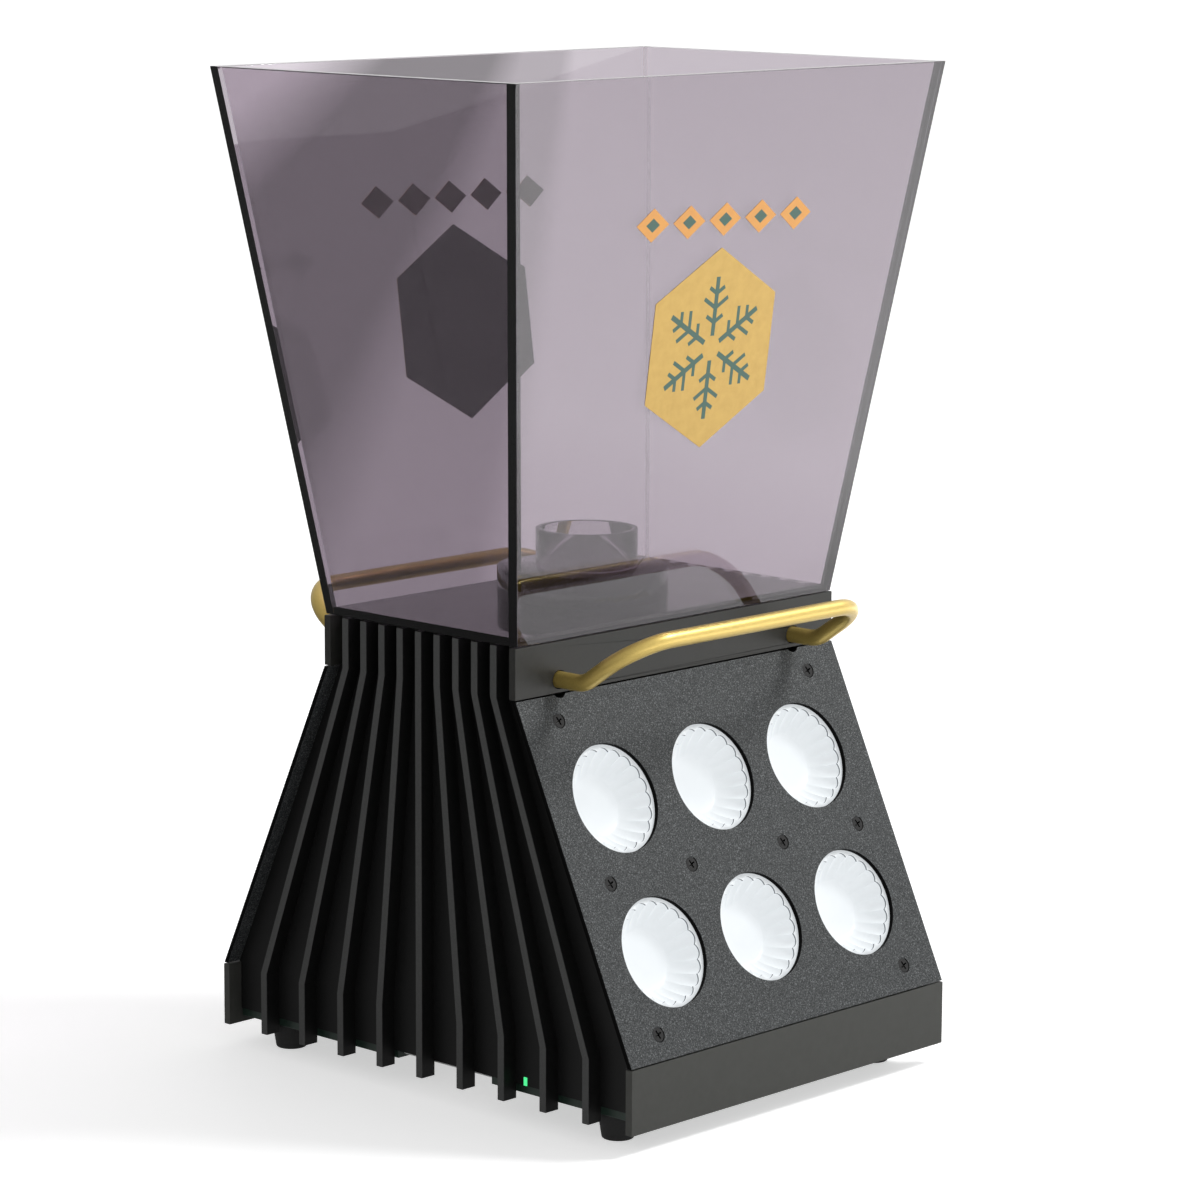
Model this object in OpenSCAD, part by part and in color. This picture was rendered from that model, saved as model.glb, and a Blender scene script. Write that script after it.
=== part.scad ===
// Bottle chiller on a lit display base. An open tank of smoked acrylic with a bottle seat stands on
// a finned black base, which has six round lamps in each sloped panel and two bent-rod handles.
// Millimetres, +Z up. The front faces -Y, and the origin is on the floor under the middle.

/* [Base] */
// Width over the side fins
base_w = 225; // [215:1:250]
// Depth across the upright bands at the top
base_top_d = 129.4; // [125:0.2:140]
// Depth across the upright skirts at the bottom
base_bot_d = 280.4; // [265:0.2:300]
// Height of the upright bands at the top
top_band_h = 24.5; // [23:0.5:32]
// Height of the sloped panels
panel_h = 162.4; // [155:0.2:180]
// Height of the upright skirts at the bottom
skirt_h = 31.2; // [29:0.2:40]
// Clear height from the floor to the skirts
skirt_gap = 10.1; // [8:0.1:16]
// Thickness of the bands and skirts
band_t = 4; // [3:0.5:5]
// Thickness of the sloped panel sheets
panel_t = 2.5; // [2:0.5:3.5]
// Open joint between a panel and the band or skirt beside it
panel_joint = 0.6; // [0.4:0.1:1]
// Thickness of the deck that the tank stands on
deck_t = 3; // [2:0.5:5]

/* [Side covers] */
// Number of fins on each side, between the end plates
fin_count = 9; // [7:1:11]
// Thickness of one fin
fin_t = 4; // [3:0.5:5]
// Height that a fin stands out of its side wall
fin_out = 8; // [5:0.5:10]
// Thickness of the side wall
side_t = 3; // [2:0.5:4]
// Height of the side wall's lower edge above the fin tips
side_lift = 7.4; // [6:0.2:9]

/* [Lamps] */
// Diameter of the lamp windows in a panel
window_d = 53.4; // [48:0.2:56]
// Distance from the middle of an outer lamp to the side of the base
lamp_margin = 44.1; // [43:0.1:46]
// Distance between lamp rows, along the slope
lamp_pitch_t = 75.6; // [74:0.2:78]
// Distance from the top edge of the panel to the upper lamps, along the slope
lamp_top_t = 54.1; // [52:0.1:56]
// Number of flutes in a lamp dish
flute_count = 20; // [12:2:28]
// Depth of a lamp dish
dish_depth = 12; // [9:0.5:14]
// Radius of the smooth floor of a dish
dish_floor_r = 14; // [11:0.5:16]
// Wall of a lamp dish
dish_wall = 2; // [1.5:0.1:2.5]
// Thickness of the circuit boards
pcb_t = 1.6; // [1:0.2:2]

/* [Panel screws] */
// Diameter of a screw head
head_d = 6.8; // [6:0.1:7.4]
// Diameter of a screw shank
shank_d = 3.4; // [3:0.1:3.8]
// Length of a screw
screw_len = 14; // [12:1:16]
// Distance from the outer screws to the side of the base
screw_margin = 23.7; // [22:0.1:26]
// Distance from the middle to the inner screws of the middle row
screw_mid_x = 32.8; // [30:0.2:36]
// Distance from the top edge of the panel to the middle row of screws, along the slope
screw_mid_t = 92.9; // [90:0.1:95]
// Distance from each end of the panel to its first screw, along the slope
screw_end_t = 13; // [12:0.2:14]
// Depth of the bosses that carry the lamp board
boss_depth = 18; // [17:0.5:21]

/* [Handles] */
// Diameter of the handle rod
rod_d = 8; // [6:0.5:9]
// Distance from a handle leg to the side of the base
handle_margin = 29.6; // [27:0.1:36]
// Reach of the grip in front of its band
handle_reach = 49; // [46:0.5:56]
// Rise of the grip above its legs
handle_rise = 22.3; // [18:0.1:26]
// Straight length of a leg, up to the crank
handle_leg = 16.3; // [12:0.1:18]
// Distance from the top of the base down to the legs
leg_drop = 18.2; // [17.6:0.1:18.8]
// Bend radius at the crank
crank_r = 16; // [12:0.5:18]
// Bend radius at the grip's corners
corner_r = 24; // [16:0.5:25]

/* [Tank] */
// Step from the side of the base in to the side of the tank
tank_step = 1.25; // [1:0.05:6]
// Outer width of the tank at its rim
tank_top_w = 300; // [270:1:330]
// Outer depth of the tank at its rim
tank_top_d = 202.6; // [180:0.2:230]
// Height of the tank
tank_h = 262.6; // [220:0.2:300]
// Thickness of the tank walls
tank_wall = 5.5; // [4:0.5:8]
// Thickness of the tank floor
floor_t = 4; // [3:0.5:6]
// Thickness of the foam mat under the tank
mat_t = 0.6; // [0.4:0.1:2]

/* [Bottle seat] */
// Diameter of the pedestal disc
pedestal_d = 80; // [70:1:95]
// Height of the pedestal disc
pedestal_h = 15; // [10:0.5:25]
// Outer diameter of the neck collar
collar_d = 50; // [44:0.5:60]
// Wall of the neck collar
collar_wall = 3; // [2:0.5:4]
// Height of the neck collar
collar_h = 18.6; // [12:0.2:30]

/* [Decals] */
// Width of the six-sided badge across its flats
badge_w = 84; // [60:1:96]
// Width of one lozenge in the row above the badge
lozenge_w = 22; // [14:1:26]
// Height of one lozenge
lozenge_h = 16; // [10:1:20]
// Height of the badge centre up the tank wall
badge_up = 132; // [110:1:150]
// Thickness of the decal film
film_t = 0.3; // [0.2:0.1:0.5]

/* [Underside] */
// Thickness of the base plate
plate_t = 4; // [3:0.5:5]
// Radius of a foot at the floor
foot_r = 7.6; // [6:0.2:9]
// Radius of a foot at the base plate
foot_top_r = 9.8; // [9:0.2:11]
// Distance from the middle of a foot to the side of the base
foot_margin_x = 20.2; // [19.5:0.1:28]
// Distance from the middle of a foot to the front or rear of the base
foot_margin_y = 27.7; // [24:0.1:36]

/* [Power] */
// Length of the battery pack, front to back
pack_l = 63.2; // [50:0.2:70]
// Width of the battery pack
pack_w = 70; // [55:1:75]
// Height of the battery pack
pack_h = 22; // [18:1:26]
// Position of the middle of the battery pack, front to back
pack_y = -8.9; // [-14:0.1:-4]
// Length of the control board
board_l = 84; // [70:1:90]
// Width of the control board
board_w = 60; // [50:1:70]
// Height of the power switch and the board terminals above the floor
switch_z = 28; // [26.5:0.5:29]
// Sideways position of the power switch
switch_x = 68; // [60:1:72]
// Angle that the rocker turns through
rocker_turn = 16; // [12:1:18]
// Diameter of the wiring sleeves
lead_d = 5; // [4:0.5:6]

/* [Hidden] */
$fn = 64;
LAMPS = 6;

// Colours
BLACK = "#1b1c1d";
SATIN = "#3b3c39";
SPECKLE = "#46494a";
GOLD = "#c79c3c";
LAMP_WHITE = "#eaf1f6";
SMOKED = [0.55, 0.49, 0.53, 0.5];
BOARD_GREEN = "#1f5c39";
ORANGE = "#f0a12a";

// Clearances
SLIP = 0.3; // gap round a piece that drops into its place
SHANK_GAP = 0.05; // gap round a shank or rod in its hole
PIVOT_GAP = 0.04; // radial gap of the rocker on its pins
WELD = 0.5; // overlap of shapes that are one piece
LAP = 0.3; // overlap of the straights and bends of one rod
SWELL = 0.02; // how much thicker a bend is than its straights

// Heights of the base
z_skirt = skirt_gap;
z_low = z_skirt + skirt_h;
z_high = z_low + panel_h;
z_top = z_high + top_band_h;
z_side = z_skirt + side_lift;
tank_z = z_top + mat_t;

// Half sizes of the base
half_w = base_w / 2;
half_top = base_top_d / 2;
half_bot = base_bot_d / 2;

// Sloped panels
slope_run = half_bot - half_top;
slope = atan2(panel_h, slope_run);
slope_len = norm([panel_h, slope_run]);
panel_level_t = panel_t / sin(slope);
screw_t = [screw_end_t, screw_mid_t, slope_len - screw_end_t];
board_n = panel_t + boss_depth;

// Side covers
side_out = half_w - fin_out;
side_in = side_out - side_t;
deck_half_w = side_out - WELD;

// Lamps
lamp_pitch_x = half_w - lamp_margin;
rim_r = window_d / 2 - SLIP;
flute_depth = 2.4;
flange_r = window_d / 2 + 1.8;
flange_t = 1.6;
screw_x = half_w - screw_margin;
boss_x = screw_x - 8.8;
boss_half_t = 6;
bar_half_t = 5;
lamp_board_half = side_in - 3.5;
lamp_board_end = 8;
source_r = 9;
source_h = 1.6;
plug_half_w = 6;
plug_half_t = 4;
plug_up = 15;

// Screws
sink_r = head_d / 2 + 0.4;
sink_depth = 2.1;
head_drop = 0.3;
cross_turn = 20;
cross_w = 0.9;
cross_l = 4.4;
cross_depth = 1.3;

// Handles
handle_half = half_w - handle_margin;
handle_span = 2 * handle_half;
leg_z = z_top - leg_drop;
leg_in = 15;
crank_run = handle_reach - handle_leg;
crank_angle = atan2(handle_rise, crank_run);
crank_len = norm([crank_run, handle_rise]);
crank_tangent = crank_r * tan(crank_angle / 2);
nut_d = 15;
nut_h = 6;
rod_hole_r = rod_d / 2 + 0.4;
notch_up = 2;

// Tank walls lean outwards
tank_bot_w = base_w - 2 * tank_step;
tank_bot_d = base_top_d;
lean_x = atan2((tank_top_w - tank_bot_w) / 2, tank_h);
lean_y = atan2((tank_top_d - tank_bot_d) / 2, tank_h);
wall_x = tank_wall / cos(lean_x);
wall_y = tank_wall / cos(lean_y);

// Underside and power
plate_z = z_side - plate_t;
plate_half_w = deck_half_w;
plate_half_d = half_bot - band_t;
foot_x = half_w - foot_margin_x;
foot_y = half_bot - foot_margin_y;
foot_recess_r = 4.6;
foot_head_h = 2.4;
foot_recess_h = 5;
foot_shank_r = 2;
foot_nut_h = 3.2;
pack_z = plate_z + 1.8;
pack_x = -side_in + SLIP;
cradle_t = 1.5;
cradle_foot = 8;
cradle_inset = 8;
standoff_h = 4;
standoff_d = 6;
standoff_inset = 5;
board_x = 2;
board_z = z_side + standoff_h;
board_top = board_z + pcb_t;
terminal_h = 10;
terminal_d = 9;
terminal_half = 7;
cooler_half_l = 14;
cooler_half_w = 12;
cooler_h = 12;
cooler_fin = 2;
cooler_step = 5.2;
capacitor_d = 8;
capacitor_step = 17;
lamp_lead_x = 40;
lead_plug_n = 8;
indicator_y = -64;
indicator_w = 2;
indicator_h = 4;

// Switch
bezel_l = 22;
bezel_w = 16;
bezel_t = 1.5;
switch_l = 19;
switch_w = 13;
switch_in = 20;
well_l = 17.8;
well_w = 11;
well_depth = 12.5;
rocker_l = 16;
rocker_w = 10.4;
pivot_n = -5;
pivot_r = 1;

// Decals
row_gap = 5;
lozenge_gap = 3;

// Shapes drawn in a vertical plane
module yz_prism(outline, x0, x1) {
    translate([x0, 0, 0]) rotate([90, 0, 90]) linear_extrude(height = x1 - x0) polygon(outline);
}

module xz_prism(outline, y0, y1) {
    translate([0, y1, 0]) rotate([90, 0, 0]) linear_extrude(height = y1 - y0) polygon(outline);
}

module block(low, high) {
    translate(low) cube(high - low);
}

// Turns a piece drawn at the front round to the rear
module at_rear() {
    rotate([0, 0, 180]) children();
}

// Frame on the front panel's outer face: Y runs up the slope and Z points out of the panel
module on_panel(x, t) {
    translate([x, -half_top - t * cos(slope), z_high - t * sin(slope)]) rotate([slope, 0, 0]) children();
}

// Frame on the front tank wall's outer face, at a height above the tank's lower edge
module on_tank_front(x, up) {
    translate([x, -tank_bot_d / 2 - up * tan(lean_y), tank_z + up]) rotate([90 + lean_y, 0, 0]) children();
}

// Frame on the rear skirt's outer face: Y runs up and Z points out
module on_rear_skirt(x, z) {
    translate([x, half_bot, z]) rotate([90, 0, 180]) children();
}

// Column and row of lamp number i, from 1 at the upper left
function lamp_x(i) = ((i - 1) % 3 - 1) * lamp_pitch_x;
function lamp_t(i) = lamp_top_t + floor((i - 1) / 3) * lamp_pitch_t;

// Side cover with its fins, drawn on the right
module side_cover() {
    color(BLACK) {
        yz_prism([
            [-plate_half_d, z_side], [plate_half_d, z_side],
            [plate_half_d, z_low], [half_bot - panel_level_t, z_low],
            [half_top - panel_level_t, z_high], [half_top - band_t, z_high],
            [half_top - band_t, z_top - deck_t], [band_t - half_top, z_top - deck_t],
            [band_t - half_top, z_high], [panel_level_t - half_top, z_high],
            [panel_level_t - half_bot, z_low], [-plate_half_d, z_low]
        ], side_in, side_out);
        for (i = [1:fin_count]) fin(i);
        for (t = screw_t) {
            screw_boss(t);
            at_rear() mirror([1, 0, 0]) screw_boss(t);
        }
    }
}

// One fin, upright at both ends and splayed along the slope
module fin(i) {
    share = 2 * i / (fin_count + 1) - 1;
    y_top = share * (half_top - band_t / 2);
    y_bot = share * (half_bot - band_t / 2);
    half_t = fin_t / 2;
    yz_prism([
        [y_bot - half_t, z_skirt], [y_bot + half_t, z_skirt], [y_bot + half_t, z_low],
        [y_top + half_t, z_high], [y_top + half_t, z_top], [y_top - half_t, z_top],
        [y_top - half_t, z_high], [y_bot - half_t, z_low]
    ], side_out - WELD, half_w);
}

// Boss that a panel screw bites into, with the lamp board seated on its back
module screw_boss(t) {
    difference() {
        on_panel(0, t) block([boss_x, -boss_half_t, -board_n], [side_in + WELD, boss_half_t, -panel_t]);
        on_panel(screw_x, t) screw_hole();
    }
}

module screw_hole() {
    translate([0, 0, -screw_len - 1]) cylinder(r = shank_d / 2 + SHANK_GAP, h = screw_len + 2);
}

module side_cover_right() {
    side_cover();
}

module side_cover_left() {
    difference() {
        mirror([1, 0, 0]) side_cover();
        indicator_block(SLIP / 3);
    }
}

// Upright band at the top of the front
module top_band() {
    color(SATIN) difference() {
        block([-half_w, -half_top, z_high], [half_w, band_t - half_top, z_top]);
        for (s = [-1, 1]) translate([s * handle_half, 1 - half_top + band_t, leg_z])
            rotate([90, 0, 0]) cylinder(r = rod_hole_r, h = band_t + 2);
    }
}

// Sloped front panel with its windows, countersunk holes and the notches under the handle legs
module panel() {
    top = z_high - panel_joint;
    bottom = z_low + panel_joint;
    lean = slope_run / panel_h;
    color(SPECKLE) difference() {
        yz_prism([
            [-half_top - panel_joint * lean, top], [-half_bot + panel_joint * lean, bottom],
            [-half_bot + panel_joint * lean + panel_level_t, bottom],
            [-half_top - panel_joint * lean + panel_level_t, top]
        ], -half_w, half_w);
        for (i = [1:LAMPS]) on_panel(lamp_x(i), lamp_t(i))
            translate([0, 0, -panel_t - 1]) cylinder(d = window_d, h = panel_t + 2);
        each_screw() {
            translate([0, 0, -panel_t - 1]) cylinder(r = shank_d / 2 + SHANK_GAP, h = panel_t + 2);
            translate([0, 0, -sink_depth])
                cylinder(r1 = shank_d / 2 + SHANK_GAP, r2 = sink_r, h = sink_depth);
            cylinder(r = sink_r, h = 1);
        }
        for (s = [-1, 1]) translate([s * handle_half, -half_top, z_high + notch_up])
            rotate([90, 0, 0]) translate([0, 0, -5]) cylinder(r = rod_hole_r, h = 10);
    }
}

// Frame at each screw of the front panel
module each_screw() {
    for (t = screw_t, s = [-1, 1]) on_panel(s * screw_x, t) children();
    for (s = [-1, 1]) on_panel(s * screw_mid_x, screw_mid_t) children();
}

module panel_screws() {
    color(BLACK) each_screw() difference() {
        union() {
            translate([0, 0, -sink_depth])
                cylinder(r1 = shank_d / 2, r2 = head_d / 2, h = sink_depth - head_drop);
            translate([0, 0, -screw_len]) cylinder(d = shank_d, h = screw_len - sink_depth + SWELL);
        }
        for (a = [0, 90]) rotate([0, 0, a + cross_turn])
            translate([-cross_l / 2, -cross_w / 2, -head_drop - cross_depth]) cube([cross_l, cross_w, 2]);
    }
}

// Bar behind the middle of a panel, which carries the inner screws and the lamp board
module cross_bar() {
    color("#8f9296") difference() {
        on_panel(0, screw_mid_t) block([-boss_x, -bar_half_t, -board_n], [boss_x, bar_half_t, -panel_t]);
        for (s = [-1, 1]) on_panel(s * screw_mid_x, screw_mid_t) screw_hole();
    }
}

// Fluted dish that fills one window from behind
module lamp_dish(i) {
    color(LAMP_WHITE) on_panel(lamp_x(i), lamp_t(i)) translate([0, 0, -panel_t]) difference() {
        union() {
            translate([0, 0, -flange_t]) cylinder(r = flange_r, h = flange_t);
            translate([0, 0, -dish_depth - dish_wall])
                cylinder(r1 = dish_floor_r + dish_wall, r2 = rim_r + 1, h = dish_depth + dish_wall);
        }
        mirror([0, 0, 1]) linear_extrude(height = dish_depth, scale = dish_floor_r / rim_r) polygon(flutes());
        translate([0, 0, -0.01]) linear_extrude(height = 1) polygon(flutes());
    }
}

// Wavy outline of a dish at its rim, with rounded lobes outwards and sharper ridges inwards
function flutes() = [for (k = [0:6 * flute_count - 1])
    let (a = k * 60 / flute_count, w = abs(sin(a * flute_count / 2)))
    (rim_r - flute_depth * (1 - w)) * [cos(a), sin(a)]];

// Circuit board with one light source behind each dish
module lamp_board(plug_x) {
    color("#e8e8e4") {
        on_panel(0, 0) block([-lamp_board_half, lamp_board_end - slope_len, -board_n - pcb_t],
            [lamp_board_half, -lamp_board_end, -board_n]);
        for (i = [1:LAMPS]) on_panel(lamp_x(i), lamp_t(i))
            translate([0, 0, -board_n - WELD]) cylinder(r = source_r, h = source_h + WELD);
        on_panel(plug_x, slope_len - plug_up) block(
            [-plug_half_w, -plug_half_t, -board_n - pcb_t - lead_plug_n],
            [plug_half_w, plug_half_t, -board_n - WELD]);
    }
}

// Sleeved lead from a lamp board down and across to the control board
module lamp_lead(x) {
    start_n = board_n + pcb_t + lead_plug_n;
    start_y = -half_top - (slope_len - plug_up) * cos(slope) + start_n * sin(slope);
    start_z = z_high - (slope_len - plug_up) * sin(slope) - start_n * cos(slope);
    drop = (start_z - switch_z) / cos(slope);
    turn_y = start_y + drop * sin(slope);
    color(BLACK) {
        on_panel(x, slope_len - plug_up) translate([0, 0, -start_n - drop]) cylinder(d = lead_d, h = drop);
        translate([x, turn_y, switch_z]) sphere(d = lead_d + 2 * SWELL);
        translate([x, turn_y, switch_z]) rotate([-90, 0, 0]) cylinder(d = lead_d, h = -board_w / 2 - turn_y);
    }
}

module top_deck() {
    color(SATIN) block([-deck_half_w, band_t - half_top, z_top - deck_t],
        [deck_half_w, half_top - band_t, z_top]);
}

module tank_mat() {
    color(BLACK) block([-deck_half_w + 1, band_t - half_top + 1, z_top],
        [deck_half_w - 1, half_top - band_t - 1, tank_z]);
}

module skirt() {
    color(SATIN) block([-half_w, -half_bot, z_skirt], [half_w, band_t - half_bot, z_low]);
}

module rear_skirt() {
    difference() {
        at_rear() skirt();
        on_rear_skirt(switch_x, switch_z) {
            translate([0, 0, -band_t / 2])
                cube([switch_l + 2 * SLIP, switch_w + 2 * SLIP, band_t + 2], center = true);
            translate([0, 0, 1])
                cube([bezel_l + 2 * SLIP, bezel_w + 2 * SLIP, 2 * bezel_t + 2], center = true);
        }
    }
}

// Handle bent from one rod: two legs, a crank in each, and a straight grip
module handle() {
    color(GOLD) {
        half_handle();
        mirror([1, 0, 0]) half_handle();
        translate([corner_r - handle_half - LAP, -half_top - handle_reach, leg_z + handle_rise])
            rotate([0, 90, 0]) cylinder(d = rod_d, h = handle_span - 2 * corner_r + 2 * LAP);
    }
}

module half_handle() {
    translate([handle_half, -half_top, leg_z]) {
        rotate([90, 0, 0]) translate([0, 0, -leg_in])
            cylinder(d = rod_d, h = leg_in + handle_leg - crank_tangent + LAP);
        translate([0, crank_tangent - handle_leg, crank_r]) rotate([0, 90, 180])
            rotate_extrude(angle = crank_angle) translate([crank_r, 0]) circle(d = rod_d + 2 * SWELL);
        translate([0, -handle_leg, 0]) rotate([90 - crank_angle, 0, 0]) {
            translate([0, 0, crank_tangent - LAP])
                cylinder(d = rod_d, h = crank_len - crank_tangent - corner_r + 2 * LAP);
            translate([-corner_r, 0, crank_len - corner_r]) rotate([90, 0, 0])
                rotate_extrude(angle = 90) translate([corner_r, 0]) circle(d = rod_d + 2 * SWELL);
        }
    }
}

// Nuts that clamp the handle legs behind the bands
module handle_nuts() {
    color("#9a9ca0") for (a = [0, 180], s = [-1, 1]) rotate([0, 0, a])
        translate([s * handle_half, band_t + nut_h - half_top, leg_z]) rotate([90, 30, 0]) difference() {
            cylinder(d = nut_d, h = nut_h, $fn = 6);
            translate([0, 0, -1]) cylinder(r = rod_d / 2 + SHANK_GAP, h = nut_h + 2);
        }
}

// Base plate, cut out above and below the battery pack
module base_plate() {
    color("#16241c") difference() {
        block([-plate_half_w, -plate_half_d, plate_z], [plate_half_w, plate_half_d, z_side]);
        block([-plate_half_w - 1, pack_y - pack_l / 2 - SLIP, plate_z - 1],
            [pack_x + pack_w + SLIP, pack_y + pack_l / 2 + SLIP, z_side + 1]);
        each_foot() translate([0, 0, plate_z - 1]) cylinder(r = foot_shank_r + SHANK_GAP, h = plate_t + 2);
    }
}

module each_foot() {
    for (x = [-foot_x, foot_x], y = [-foot_y, foot_y]) translate([x, y, 0]) children();
}

module feet() {
    color("#0d0d0e") each_foot() difference() {
        cylinder(r1 = foot_r, r2 = foot_top_r, h = plate_z);
        translate([0, 0, -1]) cylinder(r = foot_recess_r, h = foot_recess_h + 1);
        cylinder(r = foot_shank_r + SHANK_GAP, h = plate_z + 1);
    }
}

module foot_screws() {
    color("#77797c") each_foot() {
        translate([0, 0, foot_recess_h - foot_head_h]) cylinder(r = foot_recess_r - 0.8, h = foot_head_h);
        translate([0, 0, foot_recess_h - LAP])
            cylinder(r = foot_shank_r, h = z_side + foot_nut_h + 1 - foot_recess_h + LAP);
    }
}

module foot_nuts() {
    color("#9a9ca0") each_foot() translate([0, 0, z_side]) difference() {
        cylinder(r = 2 * foot_shank_r, h = foot_nut_h, $fn = 6);
        translate([0, 0, -1]) cylinder(r = foot_shank_r + SHANK_GAP, h = foot_nut_h + 2);
    }
}

module battery_pack() {
    color("white") block([pack_x, pack_y - pack_l / 2, pack_z],
        [pack_x + pack_w, pack_y + pack_l / 2, pack_z + pack_h]);
}

// Bent strap over the battery pack, standing on the base plate
module battery_cradle() {
    in_y = pack_l / 2;
    out_y = in_y + cradle_t;
    top = pack_z + pack_h;
    color("#8f9296") translate([0, pack_y, 0]) yz_prism([
        [-in_y - SLIP, top], [in_y + SLIP, top], [in_y + SLIP, z_side],
        [out_y + cradle_foot, z_side], [out_y + cradle_foot, z_side + cradle_t],
        [out_y + SLIP, z_side + cradle_t], [out_y + SLIP, top + cradle_t],
        [-out_y - SLIP, top + cradle_t], [-out_y - SLIP, z_side + cradle_t],
        [-out_y - cradle_foot, z_side + cradle_t], [-out_y - cradle_foot, z_side], [-in_y - SLIP, z_side]
    ], pack_x + cradle_inset, pack_x + pack_w - cradle_inset);
}

// A part soldered on the control board, given by its low corner, its length, width and height
module on_board(x, y, size) {
    translate([x, y, board_top - WELD]) cube([size[0], size[1], size[2] + WELD]);
}

// Control board with its terminals, driver chip cooler and capacitors
module control_board() {
    mid_x = board_x + board_l / 2;
    along = 2 * terminal_half;
    color(BOARD_GREEN) {
        block([board_x, -board_w / 2, board_z], [board_x + board_l, board_w / 2, board_top]);
        on_board(board_x, pack_y - terminal_half, [terminal_d, along, terminal_h]);
        for (y = [-board_w / 2, board_w / 2 - terminal_d])
            on_board(lamp_lead_x - terminal_half, y, [along, terminal_d, terminal_h]);
        on_board(switch_x - terminal_half, board_w / 2 - terminal_d, [along, terminal_d, terminal_h]);
        on_board(mid_x - cooler_half_l, -cooler_half_w, [2 * cooler_half_l, 2 * cooler_half_w, cooler_fin]);
        for (x = [-cooler_half_l:cooler_step:cooler_half_l - cooler_fin])
            on_board(mid_x + x, -cooler_half_w, [cooler_fin, 2 * cooler_half_w, cooler_h]);
        for (y = [-capacitor_step, 0, capacitor_step])
            translate([board_x + board_l - capacitor_d, y, board_top - WELD])
                cylinder(d = capacitor_d, h = cooler_h);
    }
}

module board_standoffs() {
    half_l = board_l / 2 - standoff_inset;
    half_b = board_w / 2 - standoff_inset;
    color("#c9b26a") for (x = [-half_l, half_l], y = [-half_b, half_b])
        translate([board_x + board_l / 2 + x, y, z_side]) cylinder(d = standoff_d, h = standoff_h);
}

// Green light pipe in the lower edge of the left side wall
module indicator_block(grow) {
    block([-side_out - SLIP - grow, indicator_y - indicator_w / 2 - grow, z_side - (grow > 0 ? 1 : 0)],
        [-side_in + 2 + grow, indicator_y + indicator_w / 2 + grow, z_side + indicator_h + grow]);
}

module indicator_lamp() {
    color("#2fd060") indicator_block(0);
}

// Housing of the rocker switch, with the bores that its pins turn in
module switch_housing() {
    color(BLACK) on_rear_skirt(switch_x, switch_z) difference() {
        union() {
            translate([-bezel_l / 2, -bezel_w / 2, -bezel_t]) cube([bezel_l, bezel_w, bezel_t]);
            translate([-switch_l / 2, -switch_w / 2, -switch_in]) cube([switch_l, switch_w, switch_in]);
        }
        translate([-well_l / 2, -well_w / 2, -well_depth]) cube([well_l, well_w, well_depth + 1]);
        translate([0, 0, pivot_n]) rotate([90, 0, 0])
            cylinder(r = pivot_r + PIVOT_GAP, h = switch_w - 1, center = true);
    }
}

// Rocker on its two pins, resting with one end pressed in
module switch_rocker() {
    half_l = rocker_l / 2;
    color("#2a2b2c") on_rear_skirt(switch_x, switch_z) translate([0, 0, pivot_n])
    rotate([0, rocker_turn / 2, 0]) {
        xz_prism([
            [-half_l, 3.6], [0, 2.2], [half_l, 3.6],
            [half_l - 0.6, -2], [1.5, -4.4], [-1.5, -4.4], [0.6 - half_l, -2]
        ], -rocker_w / 2, rocker_w / 2);
        rotate([90, 0, 0]) cylinder(r = pivot_r, h = switch_w - 1.4, center = true);
    }
}

module switch_lead() {
    color(BLACK) translate([switch_x, board_w / 2, switch_z]) rotate([-90, 0, 0])
        cylinder(d = lead_d, h = half_bot - switch_in - board_w / 2);
}

module battery_lead() {
    color(BLACK) translate([pack_x + pack_w, pack_y, switch_z]) rotate([0, 90, 0])
        cylinder(d = lead_d, h = board_x - pack_x - pack_w);
}

// Outline of the tank seen along one axis, from its lower edge to its rim
function tank_outline(low, high, up) =
    [[-low, tank_z], [low, tank_z], [high, tank_z + up], [-high, tank_z + up]];

module tank_front_wall() {
    half_d = tank_bot_d / 2;
    rim_d = tank_top_d / 2;
    color(SMOKED) intersection() {
        xz_prism(tank_outline(tank_bot_w / 2, tank_top_w / 2, tank_h), -rim_d - 1, 0);
        yz_prism([[-half_d, tank_z], [wall_y - half_d, tank_z], [wall_y - rim_d, tank_z + tank_h],
            [-rim_d, tank_z + tank_h]], -tank_top_w, tank_top_w);
    }
}

module tank_right_wall() {
    low_w = tank_bot_w / 2;
    rim_w = tank_top_w / 2;
    color(SMOKED) intersection() {
        xz_prism([[low_w - wall_x, tank_z], [low_w, tank_z], [rim_w, tank_z + tank_h],
            [rim_w - wall_x, tank_z + tank_h]], -tank_top_d, tank_top_d);
        yz_prism(tank_outline(tank_bot_d / 2 - wall_y, tank_top_d / 2 - wall_y, tank_h), 0, tank_top_w);
    }
}

module tank_floor() {
    low_w = tank_bot_w / 2 - wall_x;
    low_d = tank_bot_d / 2 - wall_y;
    color(SMOKED) intersection() {
        xz_prism(tank_outline(low_w, low_w + floor_t * tan(lean_x), floor_t), -tank_top_d, tank_top_d);
        yz_prism(tank_outline(low_d, low_d + floor_t * tan(lean_y), floor_t), -tank_top_w, tank_top_w);
    }
}

module pedestal_disc() {
    color(SMOKED) translate([0, 0, tank_z + floor_t]) cylinder(d = pedestal_d, h = pedestal_h);
}

// Open ring that takes the neck of an upturned bottle
module neck_collar() {
    color(SMOKED) translate([0, 0, tank_z + floor_t + pedestal_h]) difference() {
        cylinder(d = collar_d, h = collar_h);
        translate([0, 0, -1]) cylinder(r = collar_d / 2 - collar_wall, h = collar_h + 2);
    }
}

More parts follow.
